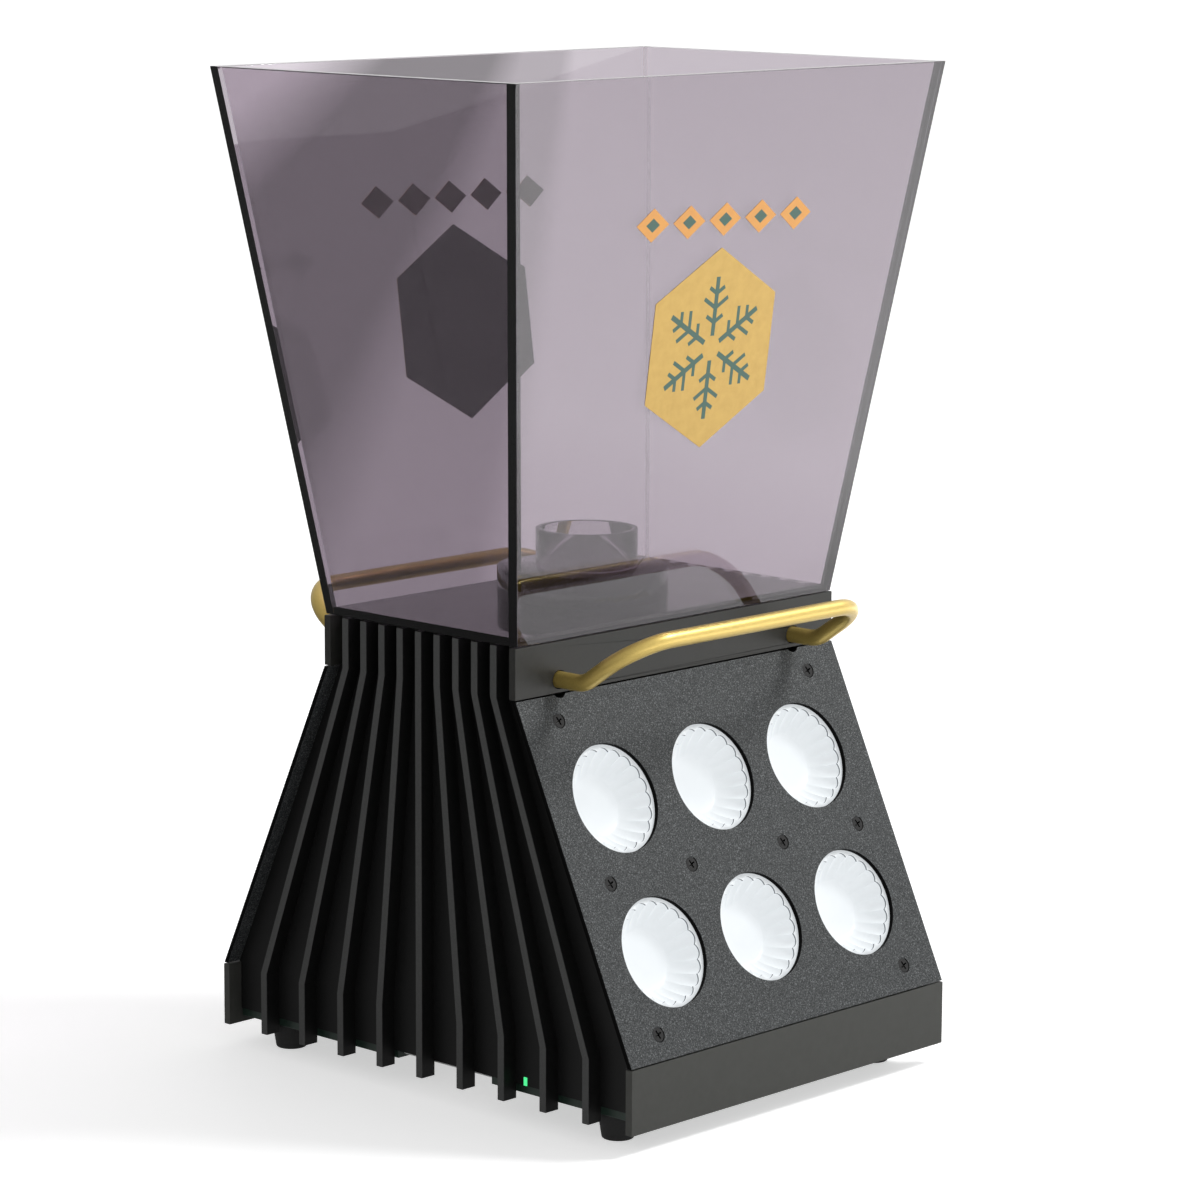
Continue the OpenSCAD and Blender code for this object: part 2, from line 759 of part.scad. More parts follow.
// Film on the front wall: a six-sided badge under a row of five lozenges
module decal() {
    badge_r = badge_w / 2 / cos(30);
    row_up = badge_up + badge_r + lozenge_h / 2 + row_gap;
    color(ORANGE) {
        on_tank_front(0, badge_up) rotate([0, 0, 90])
            cylinder(r = badge_r, h = film_t, $fn = 6);
        for (k = [-2:2]) on_tank_front(k * (lozenge_w + lozenge_gap), row_up) linear_extrude(height = film_t)
            polygon([[-lozenge_w / 2, 0], [0, -lozenge_h / 2], [lozenge_w / 2, 0], [0, lozenge_h / 2]]);
    }
}

side_cover_left();
side_cover_right();
top_band();  // front_top_band
at_rear() top_band();  // rear_top_band
top_deck();
panel();  // front_panel
at_rear() panel();  // rear_panel
skirt();  // front_skirt
rear_skirt();
base_plate();
tank_mat();
for (i = [1:LAMPS]) lamp_dish(i);
for (i = [1:LAMPS]) at_rear() lamp_dish(i);
lamp_board(lamp_lead_x);  // front_lamp_board
at_rear() lamp_board(-lamp_lead_x);  // rear_lamp_board
cross_bar();  // front_cross_bar
at_rear() cross_bar();  // rear_cross_bar
panel_screws();  // front_panel_screws
at_rear() panel_screws();  // rear_panel_screws
handle();  // front_handle
at_rear() handle();  // rear_handle
handle_nuts();
feet();
foot_screws();
foot_nuts();
battery_pack();
battery_cradle();
control_board();
board_standoffs();
indicator_lamp();
switch_housing();
switch_rocker();
lamp_lead(lamp_lead_x);  // front_lamp_lead
at_rear() lamp_lead(-lamp_lead_x);  // rear_lamp_lead
switch_lead();
battery_lead();
tank_front_wall();
at_rear() tank_front_wall();  // tank_rear_wall
at_rear() tank_right_wall();  // tank_left_wall
tank_right_wall();
tank_floor();
pedestal_disc();
neck_collar();
decal();  // front_decal
at_rear() decal();  // rear_decal
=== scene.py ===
# %% [markdown]
# # A bottle chiller on a lit base
#
# The real object is a flared, open tank of smoked acrylic. It stands on a black base with finned
# sides, two sloped panels with six round lamps each, and two gold handles bent from one rod.
# The plates, fins and screws come from the CAD model as they are. This script gives every one of
# them a finish, and makes finer pieces where the CAD solid is only a plain form.

# %% Load the fixed frame
import math

import bmesh
import bpy
from mathutils import Matrix, Quaternion, Vector


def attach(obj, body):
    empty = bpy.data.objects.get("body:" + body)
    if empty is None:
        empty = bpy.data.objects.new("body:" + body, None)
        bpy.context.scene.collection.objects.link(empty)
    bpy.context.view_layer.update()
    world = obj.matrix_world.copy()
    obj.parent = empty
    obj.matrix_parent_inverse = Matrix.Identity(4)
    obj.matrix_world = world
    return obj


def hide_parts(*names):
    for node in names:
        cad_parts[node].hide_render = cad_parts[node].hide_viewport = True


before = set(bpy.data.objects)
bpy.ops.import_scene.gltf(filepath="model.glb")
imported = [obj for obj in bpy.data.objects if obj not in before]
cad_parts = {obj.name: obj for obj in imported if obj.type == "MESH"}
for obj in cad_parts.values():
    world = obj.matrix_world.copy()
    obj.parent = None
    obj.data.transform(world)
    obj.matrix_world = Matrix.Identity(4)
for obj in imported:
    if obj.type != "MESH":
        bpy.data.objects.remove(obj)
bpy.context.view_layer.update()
scene = bpy.context.scene

# %% [markdown]
# Every size is in metres, and repeats a size of the CAD model. Naming them once keeps the lamps,
# handles and tank in step with the plates around them.

# %% Sizes shared by several pieces
HALF_W, HALF_TOP, HALF_BOT = 0.1125, 0.0647, 0.1402
Z_LOW, Z_HIGH = 0.0413, 0.2037
SLOPE = math.atan2(Z_HIGH - Z_LOW, HALF_BOT - HALF_TOP)
PANEL_T = 0.0025
MM = 0.001

# Z of this frame points out of the front panel, Y runs up its slope, and the origin is in the
# middle of its top edge.
PANEL_FRAME = Matrix.Translation((0, -HALF_TOP, Z_HIGH)) @ Matrix.Rotation(SLOPE, 4, "X")
REAR = Matrix.Rotation(math.pi, 4, "Z")
print("panel slope:", round(math.degrees(SLOPE), 2), "degrees")

# %% [markdown]
# ## The camera
#
# The photograph looks at the base's left front corner from a little above, with a long lens.
# A camera can be aimed with a look-at quaternion, which leaves no doubt about its roll: the small
# tilt of the photograph is added as one more turn about the view axis.

# %% Camera
FOCAL_PX, PHOTO_PX, SENSOR_MM = 4392.2, 1200, 36
AZIMUTH, ELEVATION, ROLL = (math.radians(v) for v in (-46.538, 9.898, 0.264))
EYE = (-1.5357, -1.4673, 0.6002)

camera_data = bpy.data.cameras.new("Camera")
camera_data.sensor_width = SENSOR_MM
camera_data.lens = FOCAL_PX / PHOTO_PX * SENSOR_MM
camera = bpy.data.objects.new("Camera", camera_data)
scene.collection.objects.link(camera)
look = Vector((-math.sin(AZIMUTH) * math.cos(ELEVATION), math.cos(AZIMUTH) * math.cos(ELEVATION),
               -math.sin(ELEVATION)))
camera.rotation_mode = "QUATERNION"
camera.rotation_quaternion = look.to_track_quat("-Z", "Y") @ Quaternion((0, 0, 1), ROLL)
camera.location = EYE
scene.camera = camera
print("lens:", round(camera_data.lens, 1), "mm")

# %% [markdown]
# ## Material helpers
#
# Each finish is a small node tree round one Principled shader. A helper makes the tree and hands
# back its parts, so that a finish reads as a recipe: a base colour, a pattern that varies it, a
# pattern that varies the roughness, and a bump. Patterns read Object coordinates, which stay put
# on the piece from any view.

# %% Helpers for node materials
def new_finish(name, colour, roughness, metallic=0.0):
    """A material with one Principled shader, and the node tree and shader to add patterns to."""
    material = bpy.data.materials.new(name)
    material.use_nodes = True
    tree = material.node_tree
    shader = tree.nodes["Principled BSDF"]
    shader.inputs["Base Color"].default_value = (*colour, 1)
    shader.inputs["Roughness"].default_value = roughness
    shader.inputs["Metallic"].default_value = metallic
    return material, tree, shader


def fill(tree, node, names, values):
    """Puts a number, a colour or another node's output on each named input."""
    for name, value in zip(names, values):
        socket = node.inputs[name]
        if isinstance(value, bpy.types.NodeSocket):
            tree.links.new(value, socket)
        else:
            socket.default_value = value


def pattern(tree, scale, detail, rough, stretch=(1, 1, 1)):
    """A noise in Object coordinates, with an optional stretch."""
    where = tree.nodes.new("ShaderNodeTexCoord")
    mapping = tree.nodes.new("ShaderNodeMapping")
    texture = tree.nodes.new("ShaderNodeTexNoise")
    fill(tree, mapping, ("Vector", "Scale"), (where.outputs["Object"], stretch))
    fill(tree, texture, ("Vector", "Scale", "Detail", "Roughness"),
         (mapping.outputs["Vector"], scale, detail, rough))
    return texture.outputs[0]


def ramp(tree, value, stops):
    """A colour ramp over a value. Each stop is a position and a colour or a grey level."""
    node = tree.nodes.new("ShaderNodeValToRGB")
    elements = node.color_ramp.elements
    while len(elements) < len(stops):
        elements.new(0.5)
    for element, (place, colour) in zip(elements, stops):
        element.position = place
        element.color = (colour, colour, colour, 1) if isinstance(colour, float) else (*colour, 1)
    tree.links.new(value, node.inputs["Fac"])
    return node.outputs["Color"]


def spread(tree, value, low, high, start=0.0, end=1.0):
    """Maps a value from start..end to low..high."""
    node = tree.nodes.new("ShaderNodeMapRange")
    fill(tree, node, ("Value", "From Min", "From Max", "To Min", "To Max"),
         (value, start, end, low, high))
    return node.outputs["Result"]


def mixed(tree, factor, first, second, kind="FLOAT"):
    """Mixes two numbers, or two colours with kind RGBA, by a factor."""
    node = tree.nodes.new("ShaderNodeMix")
    node.data_type = kind
    fill(tree, node, ("Factor", "A", "B"), (factor, first, second))
    return node.outputs["Result"]


def maths(tree, kind, *values):
    """One Math node on outputs or numbers."""
    node = tree.nodes.new("ShaderNodeMath")
    node.operation = kind
    fill(tree, node, range(len(values)), values)
    return node.outputs[0]


def vectors(tree, kind, *values):
    """One Vector Math node. It gives a vector, or a number where the operation makes one."""
    node = tree.nodes.new("ShaderNodeVectorMath")
    node.operation = kind
    fill(tree, node, range(len(values)), values)
    return node.outputs["Value" if kind in ("DOT_PRODUCT", "LENGTH") else "Vector"]


def bump(tree, shader, height, strength, distance):
    """Presses a height pattern into the shader's normal."""
    node = tree.nodes.new("ShaderNodeBump")
    fill(tree, node, ("Height", "Strength", "Distance"), (height, strength, distance))
    tree.links.new(node.outputs["Normal"], shader.inputs["Normal"])


def varied_finish(name, dark, light, scale, rough_range, metallic=0.0, bump_by=0.0,
                  stretch=(1, 1, 1)):
    """A finish whose colour, roughness and surface all wander a little with one noise."""
    material, tree, shader = new_finish(name, dark, rough_range[0], metallic)
    noise = pattern(tree, scale, 3.0, 0.55, stretch)
    tree.links.new(ramp(tree, noise, [(0.3, dark), (0.7, light)]), shader.inputs["Base Color"])
    tree.links.new(spread(tree, noise, *rough_range, 0.3, 0.7), shader.inputs["Roughness"])
    if bump_by:
        bump(tree, shader, noise, 1.0, bump_by)
    return material


def dull(level, *finishes):
    """Sets how strongly some finishes mirror."""
    for finish in finishes:
        shader = finish.node_tree.nodes["Principled BSDF"]
        shader.inputs["Specular IOR Level"].default_value = level


print("helpers ready")

# %% [markdown]
# ## Finishes of the base
#
# The fins are satin black plastic, cut from sheet: nearly even, with a faint grain that only
# shows where light grazes them. Their outer faces are painted grey, as painted light for the light
# that they catch while the bays between the fins lie in shade. The grey comes in by the distance
# from the middle plane. The bands, the deck and the skirts are one smoother, slightly olive satin,
# in a much darker copy on the bands and deck, as painted shade under the tank and the handles, and
# in a slightly lighter copy on the skirts, as painted light for the bright floor that they mirror.

# %% Black case finishes
EDGE_DEEP = 0.0004


def make_fin_black():
    """Black sheet whose outer faces, on the base's sides, are painted grey as painted light."""
    material, tree, shader = new_finish("fin_black", (0.006, 0.006, 0.006), 0.5)
    grain = pattern(tree, 900, 3.0, 0.55)
    black = ramp(tree, grain, [(0.3, (0.004, 0.004, 0.004)), (0.7, (0.008, 0.008, 0.008))])
    # Painted light: the outer faces get a lighter grey than the shaded bays between the fins.
    painted_lit_edge = ramp(tree, grain, [(0.3, (0.060, 0.061, 0.060)), (0.7, (0.074, 0.075, 0.074))])
    where = tree.nodes.new("ShaderNodeTexCoord")
    split = tree.nodes.new("ShaderNodeSeparateXYZ")
    tree.links.new(where.outputs["Object"], split.inputs[0])
    outward = maths(tree, "ABSOLUTE", split.outputs["X"])
    at_edge = spread(tree, outward, 0, 1, HALF_W - EDGE_DEEP, HALF_W - EDGE_DEEP / 2)
    tree.links.new(mixed(tree, at_edge, black, painted_lit_edge, "RGBA"), shader.inputs["Base Color"])
    tree.links.new(spread(tree, grain, 0.42, 0.55, 0.3, 0.7), shader.inputs["Roughness"])
    bump(tree, shader, grain, 1.0, 0.00002)
    return material


fin_black = make_fin_black()
# Painted light: the skirts' satin is a little lighter, for the bright floor that they mirror.
lit_satin_olive = varied_finish("lit_satin_olive", (0.055, 0.056, 0.051), (0.063, 0.064, 0.059), 260,
                            (0.42, 0.5), bump_by=0.000006)
# Painted shade: the same satin, much darker, on the bands and deck under the tank and the handles.
shaded_band_satin = varied_finish("shaded_band_satin", (0.024, 0.024, 0.022), (0.030, 0.030, 0.027), 260,
                           (0.42, 0.5), bump_by=0.000006)
dull(0.25, fin_black, lit_satin_olive, shaded_band_satin)
print("case finishes:", [m.name for m in (fin_black, lit_satin_olive, shaded_band_satin)])

# %% [markdown]
# The sloped panels are powder coated. A fine noise picks out the coat's small glassy grains, and
# presses them into the surface. Faces that don't point along the panel, its cut edges and the
# walls of its holes, are made nearly black and mirror less. They are found by the way that a face
# points.

# %% Powder coat
def make_powder_coat():
    """Grey powder coat with fine light and dark grains, and dark cut edges."""
    material, tree, shader = new_finish("powder_coat", (0.05, 0.052, 0.054), 0.5)
    grains = pattern(tree, 1500, 2.0, 0.6)
    speckle = ramp(tree, grains, [(0.38, (0.015, 0.017, 0.0175)), (0.5, (0.040, 0.0435, 0.0445)),
                                  (0.58, (0.063, 0.067, 0.069)), (0.68, (0.16, 0.169, 0.173))])
    normal = tree.nodes.new("ShaderNodeNewGeometry").outputs["True Normal"]
    along = vectors(tree, "DOT_PRODUCT", vectors(tree, "ABSOLUTE", normal),
                    (0, math.sin(SLOPE), math.cos(SLOPE)))
    face_on = spread(tree, along, 0, 1, 0.86, 0.9)
    cut_edge = (0.004, 0.004, 0.004, 1)
    tree.links.new(mixed(tree, face_on, cut_edge, speckle, "RGBA"), shader.inputs["Base Color"])
    tree.links.new(spread(tree, face_on, 0.02, 0.3), shader.inputs["Specular IOR Level"])
    tree.links.new(spread(tree, grains, 0.66, 0.42, 0.35, 0.7), shader.inputs["Roughness"])
    bump(tree, shader, grains, 0.9, 0.0001)
    return material


powder_coat = make_powder_coat()
plate_green = varied_finish("plate_green", (0.010, 0.022, 0.016), (0.016, 0.034, 0.024), 300,
                            (0.3, 0.4))
print("panel and plate finishes:", powder_coat.name, plate_green.name)

# %% [markdown]
# ## Metal, rubber and small parts
#
# The handles have a satin gold coat over metal. A shader that is two thirds metallic keeps the
# warm body colour in the shade, where a full metal would only mirror the dark base, and a thin
# clear coat gives it a second, softer shine. The hidden parts get plain finishes of their own
# kind: zinc, circuit board, shrink film and braided sleeve.

# %% Metal, rubber and electrical finishes
satin_gold = varied_finish("satin_gold", (0.58, 0.42, 0.105), (0.65, 0.48, 0.135), 1400,
                           (0.34, 0.42), metallic=0.65, bump_by=0.00001, stretch=(0.25, 1, 1))
gold_shader = satin_gold.node_tree.nodes["Principled BSDF"]
gold_shader.inputs["Coat Weight"].default_value = 0.3
gold_shader.inputs["Coat Roughness"].default_value = 0.3
zinc = varied_finish("zinc", (0.42, 0.43, 0.45), (0.58, 0.59, 0.61), 500, (0.3, 0.45),
                     metallic=1.0)
black_oxide = varied_finish("black_oxide", (0.003, 0.003, 0.003), (0.006, 0.006, 0.006), 1200,
                            (0.28, 0.36))
foot_rubber = varied_finish("foot_rubber", (0.006, 0.006, 0.006), (0.012, 0.012, 0.012), 800,
                            (0.65, 0.8), bump_by=0.00004)
mat_foam = varied_finish("mat_foam", (0.004, 0.004, 0.004), (0.010, 0.010, 0.010), 1500,
                         (0.8, 0.95), bump_by=0.0001)
board_white = varied_finish("board_white", (0.70, 0.71, 0.68), (0.78, 0.79, 0.76), 200,
                            (0.35, 0.5))
board_green = varied_finish("board_green", (0.010, 0.09, 0.03), (0.02, 0.14, 0.05), 350,
                            (0.25, 0.4))
film_white = varied_finish("film_white", (0.76, 0.76, 0.75), (0.86, 0.86, 0.85), 60, (0.25, 0.35),
                           bump_by=0.0002)
switch_black = varied_finish("switch_black", (0.010, 0.010, 0.011), (0.018, 0.018, 0.019), 2000,
                             (0.45, 0.6), bump_by=0.00003)
sleeve_black = varied_finish("sleeve_black", (0.006, 0.006, 0.006), (0.03, 0.03, 0.03), 2400,
                             (0.6, 0.8), bump_by=0.0001)
dull(0.08, mat_foam)
dull(0.3, black_oxide)
print("finishes so far:", len(bpy.data.materials))

# %% [markdown]
# ## Print and lamp finishes
#
# The badge is printed film: gold, orange and dark green on its outside, and almost black from
# behind, where only the film's back shows through the tank. That back is dark, and its colour is
# taken darker still as painted shade, for the little light that reaches it. The lamp dishes are
# white plastic with light behind them. A lamp inside each dish would cost many noisy rays, so their
# shader gives a little light of its own instead, and keeps its colour and shading. The grey step
# under each dish's wavy lip is painted shade, which draws the lip's shadow line.

# %% Print and lamp finishes
badge_gold = varied_finish("badge_gold", (0.42, 0.26, 0.05), (0.50, 0.32, 0.075), 160,
                           (0.3, 0.42), metallic=0.35)
badge_orange = varied_finish("badge_orange", (0.76, 0.33, 0.055), (0.83, 0.38, 0.07), 120,
                             (0.3, 0.4))
print_green = varied_finish("print_green", (0.012, 0.075, 0.052), (0.018, 0.095, 0.066), 200,
                            (0.35, 0.45))
# The film's back: dark, and darker still as painted shade inside the tank.
film_back_and_shade = varied_finish("film_back_and_shade", (0.003, 0.002, 0.003), (0.005, 0.004, 0.005), 90,
                          (0.5, 0.6))
orange_back_and_shade = varied_finish("orange_back_and_shade", (0.030, 0.006, 0.007), (0.040, 0.009, 0.010), 90,
                            (0.5, 0.6))
dull(0.08, film_back_and_shade, orange_back_and_shade)


def make_lit(name, dark, light, glow, strength, roughness):
    """A pale plastic that also gives a little light of its own."""
    material = varied_finish(name, dark, light, 40, (roughness, roughness + 0.1))
    shader = material.node_tree.nodes["Principled BSDF"]
    shader.inputs["Emission Color"].default_value = (*glow, 1)
    shader.inputs["Emission Strength"].default_value = strength
    return material


lamp_white = make_lit("lamp_white", (0.37, 0.39, 0.40), (0.41, 0.43, 0.44), (0.93, 0.97, 1.0),
                      0.52, 0.3)
# Painted shade: the grey of the lip's small step draws the shadow line under the wavy lip.
lip_painted_shade = varied_finish("lip_painted_shade", (0.16, 0.18, 0.20), (0.20, 0.22, 0.24), 60, (0.5, 0.6))
indicator_green = make_lit("indicator_green", (0.02, 0.45, 0.12), (0.04, 0.6, 0.18),
                           (0.1, 1.0, 0.35), 0.8, 0.2)
print("finishes so far:", len(bpy.data.materials))

# %% [markdown]
# ## Smoked acrylic
#
# Clear tinted sheet is dark because light is absorbed inside it: the longer its way through, the
# darker it gets, which is why the cut edges look almost black while the faces stay lilac. So the
# tint is not painted on the surface. The shader itself is clear, and a Volume Absorption node
# takes the light away along its way. Lamps would leave no light behind glass, so rays that look
# for a lamp pass straight through a transparent shader of the same tint instead.

# %% Smoked acrylic
ACRYLIC_IOR = 1.55


def make_acrylic(name, shade, density, absorb):
    """Clear acrylic with absorption inside it, which lets lamps light what is behind it."""
    material, tree, shader = new_finish(name, (1, 1, 1), 0.0)
    shader.inputs["IOR"].default_value = ACRYLIC_IOR
    shader.inputs["Transmission Weight"].default_value = 1.0
    haze = pattern(tree, 30, 4.0, 0.6)
    tree.links.new(spread(tree, haze, 0.0, 0.012, 0.45, 0.75), shader.inputs["Roughness"])
    tint = tree.nodes.new("ShaderNodeBsdfTransparent")
    tint.inputs["Color"].default_value = (*shade, 1)
    path = tree.nodes.new("ShaderNodeLightPath")
    mix = tree.nodes.new("ShaderNodeMixShader")
    volume = tree.nodes.new("ShaderNodeVolumeAbsorption")
    volume.inputs["Color"].default_value = (*absorb, 1)
    volume.inputs["Density"].default_value = density
    output = tree.nodes["Material Output"]
    tree.links.new(path.outputs["Is Shadow Ray"], mix.inputs["Fac"])
    tree.links.new(shader.outputs["BSDF"], mix.inputs[1])
    tree.links.new(tint.outputs["BSDF"], mix.inputs[2])
    tree.links.new(mix.outputs["Shader"], output.inputs["Surface"])
    tree.links.new(volume.outputs["Volume"], output.inputs["Volume"])
    return material


smoked = make_acrylic("smoked_acrylic", shade=(0.94, 0.93, 0.94), density=115,
                      absorb=(0.136, 0.0, 0.13))
print("acrylic:", smoked.name)

# %% [markdown]
# ## Finishes on the CAD nodes
#
# Every plate, board, screw and lead that comes from the CAD model gets one of the finishes. The
# pieces that this script makes itself get theirs when they are made.

# %% Give every CAD node its finish
FINISH_OF = {
    fin_black: ["side_cover_left", "side_cover_right"],
    lit_satin_olive: ["front_skirt", "rear_skirt"],
    shaded_band_satin: ["front_top_band", "rear_top_band", "top_deck"],
    powder_coat: ["front_panel", "rear_panel"],
    plate_green: ["base_plate"],
    mat_foam: ["tank_mat"],
    board_white: ["front_lamp_board", "rear_lamp_board"],
    zinc: ["front_cross_bar", "rear_cross_bar", "handle_nuts", "foot_screws", "foot_nuts",
           "battery_cradle", "board_standoffs"],
    black_oxide: ["front_panel_screws", "rear_panel_screws"],
    satin_gold: ["front_handle", "rear_handle"],
    foot_rubber: ["feet"],
    film_white: ["battery_pack"],
    board_green: ["control_board"],
    indicator_green: ["indicator_lamp"],
    switch_black: ["switch_housing", "switch_rocker"],
    sleeve_black: ["front_lamp_lead", "rear_lamp_lead", "switch_lead", "battery_lead"],
    smoked: ["tank_front_wall", "tank_rear_wall", "tank_left_wall", "tank_right_wall", "tank_floor",
             "pedestal_disc", "neck_collar"],
    badge_gold: ["front_decal", "rear_decal"],
    lamp_white: [f"{side}_lamp_{i}" for side in ("front", "rear") for i in range(1, 7)],
}
for finish, names in FINISH_OF.items():
    for name in names:
        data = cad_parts[name].data
        data.materials.clear()
        data.materials.append(finish)

print("CAD nodes with a finish:", sum(len(names) for names in FINISH_OF.values()))

# %% [markdown]
# ## Broken edges
#
# A CAD node's mesh is left as it is, and gets modifiers instead. A Weld joins its loose triangles
# and a small Bevel breaks its edges, so that every plate catches a thin line of light as real
# sheet does. A second Weld takes away the slivers that the Bevel leaves.

# %% Break the edges of the CAD nodes
BROKEN_EDGES = {
    0.00025: ["side_cover_left", "side_cover_right", "front_panel", "rear_panel"],
    0.0003: ["front_top_band", "rear_top_band", "front_skirt", "rear_skirt", "base_plate"],
    0.0005: ["front_panel_screws", "rear_panel_screws"],
    0.0012: ["battery_pack"],
}
JOIN, SLIVER = 0.00001, 0.000002


def round_edges(target, width, segments, degrees):
    """Adds a live Bevel to the sharp edges of a node or a piece."""
    edge = target.modifiers.new("Bevel", "BEVEL")
    edge.width, edge.segments, edge.limit_method = width, segments, "ANGLE"
    edge.angle_limit = math.radians(degrees)


for width, names in BROKEN_EDGES.items():
    for name in names:
        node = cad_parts[name]
        node.modifiers.new("Weld", "WELD").merge_threshold = JOIN
        round_edges(node, width, 2, 25)
        node.modifiers.new("Clean", "WELD").merge_threshold = SLIVER
for name in FINISH_OF[sleeve_black]:
    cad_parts[name].modifiers.new("Clean", "WELD").merge_threshold = SLIVER
print("CAD nodes with broken edges:", sum(len(names) for names in BROKEN_EDGES.values()))

# %% [markdown]
# ## New pieces
#
# Every new piece is a bmesh that is made at the front, moved to its place and written to an
# object at the origin. The rear has the same pieces turned half round. A set of mesh parts has no
# fixed order, so parts are listed in the order in which they are found instead.

# %% Helpers for new pieces
def make_object(name, builder, finishes):
    """Writes a bmesh to a new object at the origin."""
    data = bpy.data.meshes.new(name)
    builder.to_mesh(data)
    builder.free()
    for finish in finishes:
        data.materials.append(finish)
    made = bpy.data.objects.new(name, data)
    scene.collection.objects.link(made)
    return made


def add_piece(name, builder, finishes, body, stands_for=(), place=Matrix(),
              smooth=True):
    """Writes a bmesh to a piece, rides it on its body and hides the CAD nodes it stands for."""
    bmesh.ops.transform(builder, matrix=place, verts=builder.verts)
    piece = make_object(name, builder, finishes)
    if smooth:
        piece.data.shade_smooth()
        piece.data.set_sharp_from_angle(angle=math.radians(40))
    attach(piece, body)
    if stands_for:
        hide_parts(*stands_for)
    return piece


def in_order(parts):
    """The mesh parts without repeats, in the order in which they are found."""
    return list(dict.fromkeys(parts))


def ring_of(builder, count, radius):
    """A circle of vertices about Z, as its edges."""
    made = bmesh.ops.create_circle(builder, segments=count, radius=radius, cap_ends=False)
    return in_order(edge for vert in made["verts"] for edge in vert.link_edges)


def verts_of(made):
    """The vertices among what an operator gives back."""
    return [g for g in made if isinstance(g, bmesh.types.BMVert)]


def edges_of(made):
    """The edges among what an operator gives back."""
    return [g for g in made if isinstance(g, bmesh.types.BMEdge)]


def extrude_to(builder, edges, reshape):
    """Extrudes edges and moves each new vertex with reshape, which takes and gives a point."""
    made = bmesh.ops.extrude_edge_only(builder, edges=edges)["geom"]
    for vert in verts_of(made):
        vert.co = reshape(vert.co)
    return edges_of(made)


def raise_faces(builder, faces, way):
    """Extrudes faces along a vector and gives the new vertices."""
    raised = verts_of(bmesh.ops.extrude_face_region(builder, geom=faces)["geom"])
    bmesh.ops.translate(builder, vec=way, verts=raised)
    return raised


def face_outwards(builder):
    """Turns every face of closed shapes outwards."""
    bmesh.ops.recalc_face_normals(builder, faces=builder.faces)
    return builder


# %% [markdown]
# ## The fluted lamp dishes
#
# Behind each window sits a pale dish like a small cake case: a flat flange, a wavy lip, and
# flutes that run inwards and fade out at the flat floor. A ring of vertices is extruded again and
# again, from the flange to the floor, and each new ring is pushed in and out by a wave whose
# height shrinks as it goes down. A Solidify gives the dish its wall.

# %% Build the lamp dishes
FLANGE_R, DISH_R, DISH_FLOOR_R = 0.0284, 0.0252, 0.014
DISH_DEPTH, DISH_WALL, LIP_STEP = 0.012, 0.0012, 0.0007
FLUTES, FLUTE_DEPTH, STEPS_PER_FLUTE = 20, 0.0018, 10
RING_SHARES = (0.08, 0.2, 0.34, 0.5, 0.66, 0.82, 0.93, 1.0)
FLUTE_FADE, WALL_CURVE, LIP_SHARE, FLOOR_SHARE = 1.2, 1.35, 0.999, 0.5
LAMP_X, LAMP_TOP, LAMP_STEP = 0.0684, 0.0541, 0.0756


def flute_wave(angle):
    """From 0 on a ridge to 1 in a groove, rounder in the groove."""
    return abs(math.sin(angle * FLUTES / 2)) ** 0.8


def lamp_dish():
    """One dish, open towards +Z, with the back of the panel at zero."""
    builder = bmesh.new()
    edges = ring_of(builder, FLUTES * STEPS_PER_FLUTE, FLANGE_R)

    def ring_at(share):
        radius = DISH_R + (DISH_FLOOR_R - DISH_R) * share
        height = FLUTE_DEPTH * (1 - share) ** FLUTE_FADE
        lip_level = -LIP_STEP if share else 0.0
        level = lip_level - (DISH_DEPTH - LIP_STEP) * (1 - (1 - share) ** WALL_CURVE)

        def reshape(point):
            angle = math.atan2(point.y, point.x)
            r = radius - height * (1 - flute_wave(angle))
            return Vector((r * math.cos(angle), r * math.sin(angle), level))
        return reshape

    edges = extrude_to(builder, edges, ring_at(0.0))
    flange = set(builder.faces)
    edges = extrude_to(builder, edges, lambda p: p * LIP_SHARE + Vector((0, 0, -LIP_STEP)))
    lip = set(builder.faces) - flange
    for share in RING_SHARES:
        edges = extrude_to(builder, edges, ring_at(share))
    edges = extrude_to(builder, edges, lambda p: Vector((p.x * FLOOR_SHARE, p.y * FLOOR_SHARE,
                                                         -DISH_DEPTH)))
    bmesh.ops.edgeloop_fill(builder, edges=edges)
    # The lip's step gets the grey of painted shade, and the rest gets the lamp's white.
    for face in builder.faces:
        face.material_index = 1 if face in lip else 0
    face_outwards(builder)
    if sum(face.normal.z for face in builder.faces) < 0:
        bmesh.ops.reverse_faces(builder, faces=builder.faces)
    return builder


def add_dish(side, index):
    """The dish behind one window. Windows count from the left, the upper row first."""
    column, row = (index - 1) % 3 - 1, (index - 1) // 3
    place = PANEL_FRAME @ Matrix.Translation((column * LAMP_X, -LAMP_TOP - row * LAMP_STEP,
                                              -PANEL_T))
    if side == "rear":
        place = REAR @ place
    piece = add_piece(f"{side}_dish_{index}", lamp_dish(), [lamp_white, lip_painted_shade], "base",
                      [f"{side}_lamp_{index}"], place)
    wall = piece.modifiers.new("Wall", "SOLIDIFY")
    wall.thickness, wall.offset = DISH_WALL, -1
    return piece


for side in ("front", "rear"):
    for index in range(1, 7):
        dish = add_dish(side, index)
print("faces in a dish:", len(dish.data.polygons))

# %% [markdown]
# ## The bent-rod handles
#
# One rod is bent four times: out of the band, up through a crank, and round into a straight grip.
# Its centre line is a chain of straights and round bends, so the rod is made the way a bender
# makes it: a ring of vertices is extruded along each straight and spun round each bend.

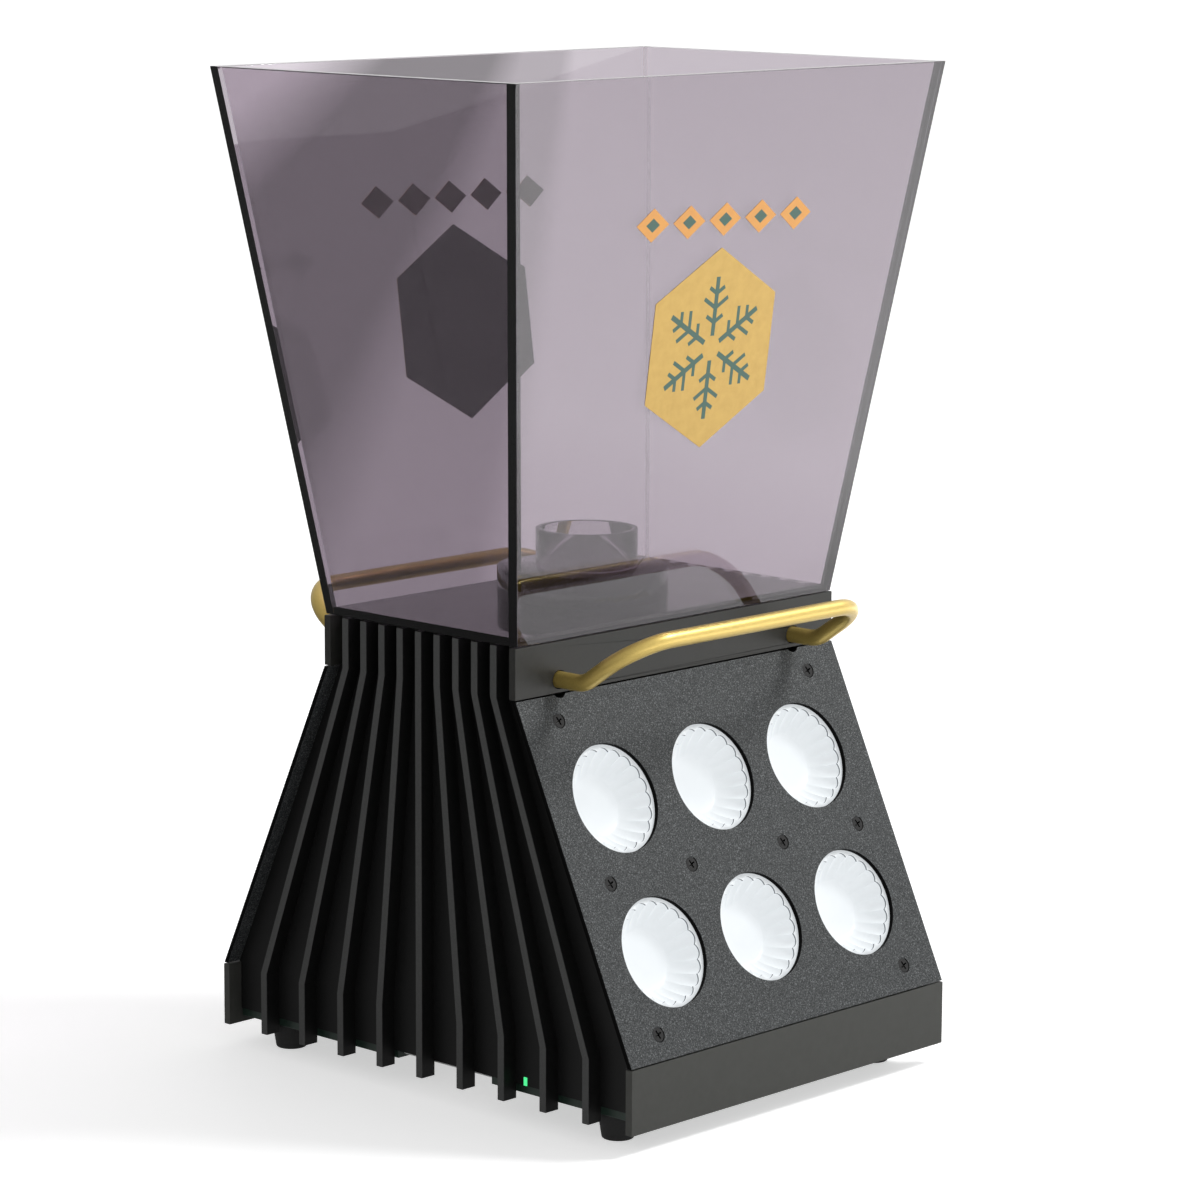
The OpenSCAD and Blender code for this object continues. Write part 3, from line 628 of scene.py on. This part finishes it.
# %% Build the handles
ROD_R, ROD_SIDES, CRANK_STEPS, CORNER_STEPS = 0.004, 32, 8, 16
LEG_X, LEG_Z, LEG_OUT, REACH, RISE = 0.0829, 0.21, 0.0163, 0.049, 0.0223
CRANK_R, CORNER_R, LEG_IN = 0.016, 0.024, 0.013


def straight(builder, edges, way):
    """Extrudes the rod's open end along a vector."""
    made = bmesh.ops.extrude_edge_only(builder, edges=edges)["geom"]
    bmesh.ops.translate(builder, vec=way, verts=verts_of(made))
    return edges_of(made)


def bend(builder, edges, centre, axis, angle, steps):
    """Spins the rod's open end round a centre."""
    made = bmesh.ops.spin(builder, geom=edges, cent=centre, axis=axis, angle=angle, steps=steps)
    return edges_of(made["geom_last"])


def handle_rod():
    """The rod from its left leg to its right one, at the front."""
    builder = bmesh.new()
    edges = ring_of(builder, ROD_SIDES, ROD_R)
    start = Vector((-LEG_X, -HALF_TOP + LEG_IN, LEG_Z))
    bmesh.ops.transform(builder, verts=builder.verts,
                        matrix=Matrix.Translation(start) @ Matrix.Rotation(math.pi / 2, 4, "X"))
    run = REACH - LEG_OUT
    tilt = math.atan2(RISE, run)
    tangent = CRANK_R * math.tan(tilt / 2)
    along = Vector((0, -math.cos(tilt), math.sin(tilt)))
    knee = Vector((-LEG_X, -HALF_TOP - LEG_OUT, LEG_Z))
    corner = knee + along * math.hypot(run, RISE)
    leg = LEG_IN + LEG_OUT - tangent
    riser = along * (math.hypot(run, RISE) - tangent - CORNER_R)
    grip = Vector((2 * (LEG_X - CORNER_R), 0, 0))
    turn = along.cross(Vector((1, 0, 0)))
    centre = corner - along * CORNER_R + Vector((CORNER_R, 0, 0))
    crank = Vector((0, tangent, CRANK_R))

    edges = straight(builder, edges, (0, -leg, 0))
    edges = bend(builder, edges, knee + crank, (1, 0, 0), -tilt, CRANK_STEPS)
    edges = straight(builder, edges, riser)
    edges = bend(builder, edges, centre, turn, math.pi / 2, CORNER_STEPS)
    edges = straight(builder, edges, grip)
    edges = bend(builder, edges, centre + grip, turn, math.pi / 2, CORNER_STEPS)
    edges = straight(builder, edges, -riser)
    knee.x = LEG_X
    edges = bend(builder, edges, knee + crank, (1, 0, 0), tilt, CRANK_STEPS)
    edges = straight(builder, edges, (0, leg, 0))
    open_ends = [edge for edge in builder.edges if edge.is_boundary]
    bmesh.ops.holes_fill(builder, edges=open_ends, sides=0)
    return face_outwards(builder)


for side, place in (("front", Matrix()), ("rear", REAR)):
    rod = add_piece(f"{side}_handle_rod", handle_rod(), [satin_gold], "base", [f"{side}_handle"],
                    place)
print("handle rod box:", [round(v, 4) for v in rod.dimensions])

# %% [markdown]
# ## The feet
#
# Each foot is a small turned rubber cone with a screw in its recess. Its section is a short chain
# of edges, spun once round the foot's own axis, and a Bevel rounds the moulded edges.

# %% Build the feet
FOOT_X, FOOT_Y, FOOT_R, FOOT_TOP_R, FOOT_H = 0.0923, 0.1125, 0.0076, 0.0098, 0.0135
RECESS_R, RECESS_H, SHANK_R, FOOT_SIDES, FOOT_EDGE = 0.0046, 0.005, 0.00205, 40, 0.0008


def all_feet():
    """The four feet, each with a recess for the screw's head and a hole for its shank."""
    builder = bmesh.new()
    section = [(SHANK_R, FOOT_H), (SHANK_R, RECESS_H), (RECESS_R, RECESS_H), (RECESS_R, 0),
               (FOOT_R, 0), (FOOT_TOP_R, FOOT_H)]
    for x in (-FOOT_X, FOOT_X):
        for y in (-FOOT_Y, FOOT_Y):
            verts = [builder.verts.new((x + r, y, z)) for r, z in section]
            edges = [builder.edges.new(pair) for pair in zip(verts, verts[1:] + verts[:1])]
            bmesh.ops.spin(builder, geom=verts + edges, cent=(x, y, 0), axis=(0, 0, 1),
                           angle=2 * math.pi, steps=FOOT_SIDES, use_merge=True)
    bmesh.ops.remove_doubles(builder, verts=builder.verts, dist=0.000001)
    return face_outwards(builder)


feet = add_piece("rubber_feet", all_feet(), [foot_rubber], "base", ["feet"])
round_edges(feet, FOOT_EDGE, 3, 50)
print("feet box:", [round(v, 4) for v in feet.dimensions])

# %% [markdown]
# ## The tank
#
# The front and rear sheets run the full width, and the two side sheets and the floor are glued
# between them. Touching faces would fight in a renderer, so the side sheets and the floor are made
# as one body, and the front and rear sheets stand a fiftieth of a millimetre off it. Light that
# enters the cut end of a sheet is trapped in it, which makes the black line down each corner.

# %% Build the tank sheets
TANK_Z = 0.2288
TANK_BOT, TANK_RIM, TANK_H = (0.2225, 0.1294), (0.3, 0.2026), 0.2626
WALL, FLOOR_T, GLUE_GAP, SCRAPED = 0.0055, 0.004, 0.00002, 0.0003
LEAN_X, LEAN_Y = (math.atan2((high - low) / 2, TANK_H) for low, high in zip(TANK_BOT, TANK_RIM))
SHEETS = ["tank_front_wall", "tank_rear_wall", "tank_left_wall", "tank_right_wall", "tank_floor"]


def half_at(axis, up):
    """Half the tank's outer width (axis 0) or depth (axis 1) at a height above its lower edge."""
    return (TANK_BOT[axis] + (TANK_RIM[axis] - TANK_BOT[axis]) * up / TANK_H) / 2


def front_sheet():
    """The full-width front sheet, a block whose corners are moved to the flare."""
    builder = bmesh.new()
    bmesh.ops.create_cube(builder, size=1)
    for vert in builder.verts:
        up = TANK_H if vert.co.z > 0 else 0.0
        inward = WALL / math.cos(LEAN_Y) if vert.co.y > 0 else 0.0
        vert.co = Vector((math.copysign(half_at(0, up), vert.co.x), inward - half_at(1, up), up))
    return builder


def sides_and_floor():
    """Both side sheets and the floor: a U-shaped outline, pulled from the front to the rear."""
    builder = bmesh.new()
    wall = WALL / math.cos(LEAN_X)
    right = [(half_at(0, 0.0), 0.0), (half_at(0, TANK_H), TANK_H),
             (half_at(0, TANK_H) - wall, TANK_H), (half_at(0, FLOOR_T) - wall, FLOOR_T)]
    outline = right + [(-x, z) for x, z in reversed(right)]
    front = builder.faces.new([builder.verts.new((x, -1, z)) for x, z in outline])
    raise_faces(builder, [front], (0, 2, 0))
    for vert in builder.verts:
        depth = half_at(1, vert.co.z) - WALL / math.cos(LEAN_Y) - GLUE_GAP
        vert.co.y = math.copysign(depth, vert.co.y)
    return face_outwards(builder)


def break_edges(builder, chosen, width):
    """Breaks some sharp edges, as a maker scrapes cut sheet. Glued edges stay sharp."""
    edges = [edge for edge in builder.edges if chosen(*(vert.co for vert in edge.verts))]
    bmesh.ops.bevel(builder, geom=edges, offset=width, offset_type="OFFSET", affect="EDGES",
                    segments=2, profile=0.5, material=-1, clamp_overlap=True)
    return builder


def at_rim(a, b):
    """Whether an edge between two points lies on the tank's rim."""
    return min(a.z, b.z) > TANK_H - MM


def outer_or_rim(a, b):
    """Whether an edge lies on the rim or on the sheet's outer face."""
    return at_rim(a, b) or max(a.y + half_at(1, a.z), b.y + half_at(1, b.z)) < MM


on_deck = Matrix.Translation((0, 0, TANK_Z))
for name, builder, chosen, place, stands_for in (
        ("front_sheet", front_sheet(), outer_or_rim, on_deck, SHEETS[:1]),
        ("rear_sheet", front_sheet(), outer_or_rim, REAR @ on_deck, SHEETS[1:2]),
        ("sides_and_floor", sides_and_floor(), at_rim, on_deck, SHEETS[2:])):
    sheet = add_piece(name, break_edges(builder, chosen, SCRAPED), [smoked], "tank", stands_for,
                      place, smooth=False)
    print(name, [round(v, 4) for v in sheet.dimensions])

# %% [markdown]
# ## The bottle seat
#
# A thick clear disc is glued to the tank's floor, and an open collar on it takes the neck of an
# upturned bottle. Both are turned from the same smoked acrylic. A circle is filled and extruded
# for the disc. For the collar a ring is extruded up, in and down, and its two lower circles are
# bridged.

# %% Build the disc and the collar
DISC_R, DISC_H, DISC_SIDES = 0.04, 0.015, 128
COLLAR_R, COLLAR_BORE, COLLAR_H, COLLAR_SIDES = 0.025, 0.022, 0.0186, 96
SEAT_EDGE = 0.0004


def seat_disc():
    """The solid disc, with its upper edge broken."""
    builder = bmesh.new()
    bmesh.ops.create_circle(builder, segments=DISC_SIDES, radius=DISC_R, cap_ends=True)
    raise_faces(builder, builder.faces[:], (0, 0, DISC_H - GLUE_GAP))
    return break_edges(face_outwards(builder), lambda a, b: min(a.z, b.z) > DISC_H / 2, SEAT_EDGE)


def neck_ring():
    """The open collar, with both upper edges broken."""
    builder = bmesh.new()
    low = ring_of(builder, COLLAR_SIDES, COLLAR_R)
    high = extrude_to(builder, low, lambda p: p + Vector((0, 0, COLLAR_H - GLUE_GAP)))
    share = COLLAR_BORE / COLLAR_R
    lip = extrude_to(builder, high, lambda p: Vector((p.x * share, p.y * share, p.z)))
    foot = extrude_to(builder, lip, lambda p: Vector((p.x, p.y, 0)))
    bmesh.ops.bridge_loops(builder, edges=foot + low)
    return break_edges(face_outwards(builder), lambda a, b: min(a.z, b.z) > COLLAR_H / 2
                       and abs(a.xy.length - b.xy.length) < MM / 2, SEAT_EDGE)


floor_top = TANK_Z + FLOOR_T + GLUE_GAP
for name, builder, level, node in (("seat_disc", seat_disc(), floor_top, "pedestal_disc"),
                                   ("neck_ring", neck_ring(), floor_top + DISC_H, "neck_collar")):
    seat = add_piece(name, builder, [smoked], "tank", [node],
                     Matrix.Translation((0, 0, level)))
    print(name, [round(v, 4) for v in seat.dimensions])

# %% [markdown]
# ## The badges
#
# A printed film sits on the outside of the front and rear sheets. It carries a plain design made
# for this model: a six-sided gold badge with an ice crystal, under a row of orange lozenges. The
# film is a real thin plate, and the dark print is a second, thinner one on top. From inside the
# tank only the film's dark back shows, so the faces that point to the wall have a finish of their
# own, dark and darker still as painted shade.

# %% Build the film and the print
BADGE_R, BADGE_UP = 0.042 / math.cos(math.radians(30)), 0.132
LOZENGE_W, LOZENGE_H, LOZENGE_STEP = 0.022, 0.016, 0.025
ROW_UP = BADGE_UP + BADGE_R + LOZENGE_H / 2 + 0.005
FILM_LOW, FILM_TOP, PRINT_TOP, SKIM = 0.00002, 0.00026, 0.0003, 0.00001
ARM_FROM, ARM_TO, ARM_W, TWIG_FROM, TWIG_W = 0.006, 0.0345, 0.0026, 0.0008, 0.0020
TWIGS = ((0.0125, 0.0065), (0.0195, 0.0095), (0.0265, 0.0060))
DOT_SHARE = 0.42


def plate(builder, corners, low, high, front=0, back=1):
    """A flat plate on a closed outline. Its lower face has the finish of the back."""
    face = builder.faces.new([builder.verts.new((x, y, low)) for x, y in corners])
    raised = raise_faces(builder, [face], (0, 0, high - low))
    shell = in_order([face] + [f for vert in raised for f in vert.link_faces])
    bmesh.ops.recalc_face_normals(builder, faces=shell)
    for f in shell:
        f.material_index = back if f.normal.z < -0.5 else front


def hexagon(radius, centre):
    """The corners of a hexagon that stands on one of them."""
    return [(centre.x + radius * math.sin(a), centre.y + radius * math.cos(a))
            for a in (math.radians(60 * k) for k in range(6))]


def lozenge(centre, share=1.0):
    """The corners of a lozenge, or of a smaller one in it."""
    half_w, half_h = LOZENGE_W / 2 * share, LOZENGE_H / 2 * share
    return [(centre.x - half_w, centre.y), (centre.x, centre.y - half_h),
            (centre.x + half_w, centre.y), (centre.x, centre.y + half_h)]


def bar(start, end, width):
    """The corners of a straight bar between two points."""
    side = (end - start).orthogonal().normalized() * width / 2
    return [tuple(v) for v in (start + side, end + side, end - side, start - side)]


badge_centre = Vector((0, BADGE_UP / math.cos(LEAN_Y)))
row = [Vector((k * LOZENGE_STEP, ROW_UP / math.cos(LEAN_Y))) for k in range(-2, 3)]


def badge_film():
    """The film: gold hexagon and orange lozenges, each with its own back."""
    builder = bmesh.new()
    plate(builder, hexagon(BADGE_R, badge_centre), FILM_LOW, FILM_TOP)
    for centre in row:
        plate(builder, lozenge(centre), FILM_LOW, FILM_TOP, 2, 3)
    return builder


def badge_print():
    """The dark print: an ice crystal on the badge, and a dot on each lozenge."""
    builder = bmesh.new()
    for k in range(6):
        a = math.radians(60 * k)
        out = Vector((math.sin(a), math.cos(a)))
        arm = bar(badge_centre + out * ARM_FROM, badge_centre + out * ARM_TO, ARM_W)
        plate(builder, arm, FILM_TOP, PRINT_TOP, 0, 0)
        for reach, length in TWIGS:
            root = badge_centre + out * reach
            for turn in (-60, 60):
                way = out.copy()
                way.rotate(Matrix.Rotation(math.radians(turn), 2))
                twig = bar(root + way * TWIG_FROM, root + way * length, TWIG_W)
                plate(builder, twig, FILM_TOP, PRINT_TOP - SKIM, 0, 0)
    for centre in row:
        plate(builder, lozenge(centre, DOT_SHARE), FILM_TOP, PRINT_TOP, 0, 0)
    return builder


WALL_FRAME = (Matrix.Translation((0, -TANK_BOT[1] / 2, TANK_Z))
              @ Matrix.Rotation(math.pi / 2 + LEAN_Y, 4, "X"))
for side, place in (("front", WALL_FRAME), ("rear", REAR @ WALL_FRAME)):
    film = add_piece(f"{side}_badge_film", badge_film(),
                     [badge_gold, film_back_and_shade, badge_orange, orange_back_and_shade], "tank",
                     [f"{side}_decal"], place, smooth=False)
    add_piece(f"{side}_badge_print", badge_print(), [print_green], "tank",
              place=place, smooth=False)
print("badge film box:", [round(v, 4) for v in film.dimensions])

# %% [markdown]
# ## Floor and light
#
# The object stands on a plain white floor in soft light, with one stronger lamp from the upper
# right. Acrylic and satin plates are seen mostly by what they mirror, so the floor that they
# mirror matters: as painted light and shade, it is brightest on the lamp's side and falls off to
# the other. Light Path tells the floor which kind of ray has found it, so the camera still sees an
# even white that keeps the shadow. Seen through the tank, the floor carries bands of painted shade.
# A ray that has been mirrored twice meets a darker floor, as the tank's inside is dim.

# %% Floor
LAMP_SIDE = (0.6885, -0.725, 0.0)
WHITE, GREY, FLOOR_HALF = (1, 1, 1, 1), 0.8, 30
MIRRORED_TWICE = 0.3
# Bands of painted shade on the floor, seen only through the tank.
SEEN_SHADE_BANDS = [(0.0, 1.0), (0.25, 1.0), (0.4, 0.23), (0.575, 0.23), (0.625, 0.54), (0.69, 0.54),
              (0.715, 0.78)]
BANDS_TIMES = 1.3


def dim_twice(tree, path, level):
    """Keeps a level for the first mirror of a ray, and takes a low one from the second on."""
    twice = maths(tree, "GREATER_THAN", path.outputs["Glossy Depth"], 1.5)
    return mixed(tree, twice, level, MIRRORED_TWICE)


def floor_level(tree, path, across, reach):
    """How bright the floor is to each kind of ray, with 1 for a white floor."""
    # Painted light and shade on the floor for mirrored rays: 2.3 on the lamp's side, down to 0.22.
    mirrored = maths(tree, "MULTIPLY", spread(tree, across, 0.22, 2.3, -0.6, 1.0),
                     spread(tree, reach, 0.6, 1.0, 0.65, 1.0))
    bands = ramp(tree, spread(tree, across, 0.0, 1.0, -1.2, 0.4), SEEN_SHADE_BANDS)
    seen_through = maths(tree, "MULTIPLY", bands, BANDS_TIMES)
    level = mixed(tree, path.outputs["Is Glossy Ray"], 1.0, dim_twice(tree, path, mirrored))
    return mixed(tree, path.outputs["Is Transmission Ray"], level, seen_through)


def make_floor_white():
    """Diffuse grey up to a level of 1, and a glow on top that makes it white to the camera."""
    material, tree, shader = new_finish("floor_white", (GREY, GREY, GREY), 0.6)
    dull(0.1, material)
    place = tree.nodes.new("ShaderNodeTexCoord").outputs["Object"]
    path = tree.nodes.new("ShaderNodeLightPath")
    reach = vectors(tree, "LENGTH", place)
    level = floor_level(tree, path, vectors(tree, "DOT_PRODUCT", place, LAMP_SIDE), reach)
    capped = maths(tree, "MINIMUM", level, 1.0)
    white = maths(tree, "MULTIPLY", capped, spread(tree, reach, 0.55, 0.62, 0.4, 1.6))
    glow = maths(tree, "ADD", white, maths(tree, "SUBTRACT", level, capped))
    not_diffuse = maths(tree, "SUBTRACT", 1.0, path.outputs["Is Diffuse Ray"])
    body = maths(tree, "MULTIPLY", capped, GREY)
    fill(tree, shader, ("Base Color", "Emission Color", "Emission Strength"),
         (body, WHITE, maths(tree, "MULTIPLY", glow, not_diffuse)))
    return material


builder = bmesh.new()
bmesh.ops.create_grid(builder, x_segments=8, y_segments=8, size=FLOOR_HALF)
floor = make_object("floor", builder, [make_floor_white()])
print("floor:", [round(v, 1) for v in floor.dimensions])

# %% [markdown]
# ## World and lamp
#
# The world is the soft light of the room. It is white where the camera sees it, straight or
# through the tank, and to all other rays it is brighter on the lamp's side. One square area lamp
# adds the stronger light from the upper right.

# %% World
WORLD_LIGHT, TO_MIRRORS = 0.5, (0.4, 1.4)
world = bpy.data.worlds.new("studio")
scene.world = world
world.use_nodes = True
tree = world.node_tree
path = tree.nodes.new("ShaderNodeLightPath")
way = tree.nodes.new("ShaderNodeTexCoord").outputs["Generated"]
across = vectors(tree, "DOT_PRODUCT", way, LAMP_SIDE)
light = spread(tree, across, WORLD_LIGHT * 0.6, WORLD_LIGHT * 1.4, -1.0, 1.0)
mirror = dim_twice(tree, path, spread(tree, across, *TO_MIRRORS, -1.0, 1.0))
strength = mixed(tree, path.outputs["Is Glossy Ray"], light, mirror)
seen = maths(tree, "MAXIMUM", path.outputs["Is Camera Ray"], path.outputs["Is Transmission Ray"])
strength = mixed(tree, seen, strength, 1.0)
fill(tree, tree.nodes["Background"], ("Color", "Strength"), (WHITE, strength))
print("world:", world.name)


# %% Lamp
def add_lamp(name, azimuth, elevation, distance, size, power, aim=(0, 0, 0.2)):
    """A square area lamp at an angle round the object. Azimuth 0 is in front of it."""
    data = bpy.data.lights.new(name, "AREA")
    data.size, data.energy = size, power
    lamp = bpy.data.objects.new(name, data)
    a, e = math.radians(azimuth), math.radians(elevation)
    back = Vector((math.sin(a) * math.cos(e), -math.cos(a) * math.cos(e), math.sin(e)))
    lamp.location = Vector(aim) + back * distance
    lamp.rotation_mode = "QUATERNION"
    lamp.rotation_quaternion = (-back).to_track_quat("-Z", "Y")
    scene.collection.objects.link(lamp)
    return lamp


add_lamp("key_lamp", azimuth=50, elevation=48, distance=2.2, size=0.5, power=30)
scene.view_settings.view_transform = "Standard"
